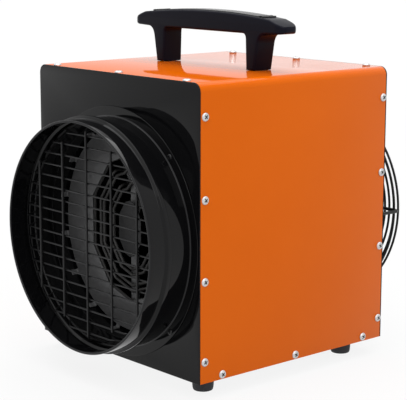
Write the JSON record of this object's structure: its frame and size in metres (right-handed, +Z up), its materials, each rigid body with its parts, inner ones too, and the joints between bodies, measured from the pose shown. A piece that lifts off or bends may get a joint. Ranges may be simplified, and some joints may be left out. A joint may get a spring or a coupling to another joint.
{
  "type": "forced air heater",
  "caption": "Portable electric fan heater in a square sheet-metal casing, with a round duct spigot in front, a wire inlet guard behind and a carrying handle on top.",
  "frame": {"origin": "on the ground, under the middle of the object's bounding box", "axes": "+Z up, -Y the way the warm air leaves through the spigot, +X to the right of someone facing the spigot"},
  "size_m": [0.275, 0.3774, 0.3922],
  "materials": {
    "orange_paint": "smooth semi-gloss powder coat",
    "black_gloss": "gloss black powder coat",
    "black_wire": "satin black dip coat on steel wire",
    "zinc_sheet": "zinc-plated sheet and fasteners",
    "element_steel": "dark oxidised sheath of a tubular element",
    "black_plastic": "fine-grained black moulding",
    "grey_plastic": "soft dark grey grip insert",
    "black_rubber": "matt moulded rubber",
    "cast_metal": "die-cast motor case",
    "red_plastic": "red moulded button",
    "amber_lens": "translucent amber lens",
    "white_plastic": "white moulding",
    "copper": "drawn copper tube",
    "dark_steel": "dull heat-resistant sheet, darkened"
  },
  "bodies": {
    "heater": {"casing_wrap": "orange_paint", "front_panel": "black_gloss", "rear_panel": "black_gloss", "base_plate": "zinc_sheet", "foot_front_left": "black_rubber", "foot_front_right": "black_rubber", "foot_rear_left": "black_rubber", "foot_rear_right": "black_rubber", "handle": "black_plastic", "handle_pad": "grey_plastic", "handle_bolt_left": "zinc_sheet", "handle_bolt_right": "zinc_sheet", "duct_spigot": "black_gloss", "outlet_grille": "black_wire", "inner_duct": "black_gloss", "baffle_plate": "dark_steel", "heating_element_outer": "element_steel", "heating_element_middle": "element_steel", "heating_element_inner": "element_steel", "element_bracket": "dark_steel", "deflector_disc": "dark_steel", "terminal_strip_upper": "dark_steel", "terminal_strip_side": "dark_steel", "fan_shroud": "black_gloss", "motor_case": "cast_metal", "motor_mount": "black_wire", "rear_guard": "black_wire", "thermostat_body": "white_plastic", "thermostat_capillary": "copper", "selector_body": "black_plastic", "cutout_body": "white_plastic", "cutout_nut": "zinc_sheet", "pilot_lamp": "amber_lens", "cable_gland": "black_plastic", "gland_locknut": "black_plastic", "heat_shield": "zinc_sheet", "terminal_block": "white_plastic"},
    "rotor": {"fan_impeller": "black_plastic", "motor_shaft": "zinc_sheet"},
    "thermostat_dial": {"thermostat_knob": "black_plastic", "thermostat_spindle": "zinc_sheet"},
    "selector_dial": {"selector_knob": "black_plastic", "selector_spindle": "zinc_sheet"},
    "reset": {"reset_button": "red_plastic"}
  },
  "joints": [
    {"name": "fan_spin", "type": "hinge", "parent": "heater", "child": "rotor", "pos_m": [0, 0.1, 0.1586], "axis": [0, 1, 0], "continuous": true},
    {"name": "thermostat_turn", "type": "hinge", "parent": "heater", "child": "thermostat_dial", "pos_m": [-0.076, 0.15, 0.306], "axis": [0, 1, 0], "range_deg": [-135, 135]},
    {"name": "selector_turn", "type": "hinge", "parent": "heater", "child": "selector_dial", "pos_m": [-0.024, 0.15, 0.306], "axis": [0, 1, 0], "range_deg": [0, 135]},
    {"name": "reset_press", "type": "slide", "parent": "heater", "child": "reset", "axis": [0, -1, 0], "range_m": [0, 0.0025], "stiffness_N_per_m": 400}
  ]
}
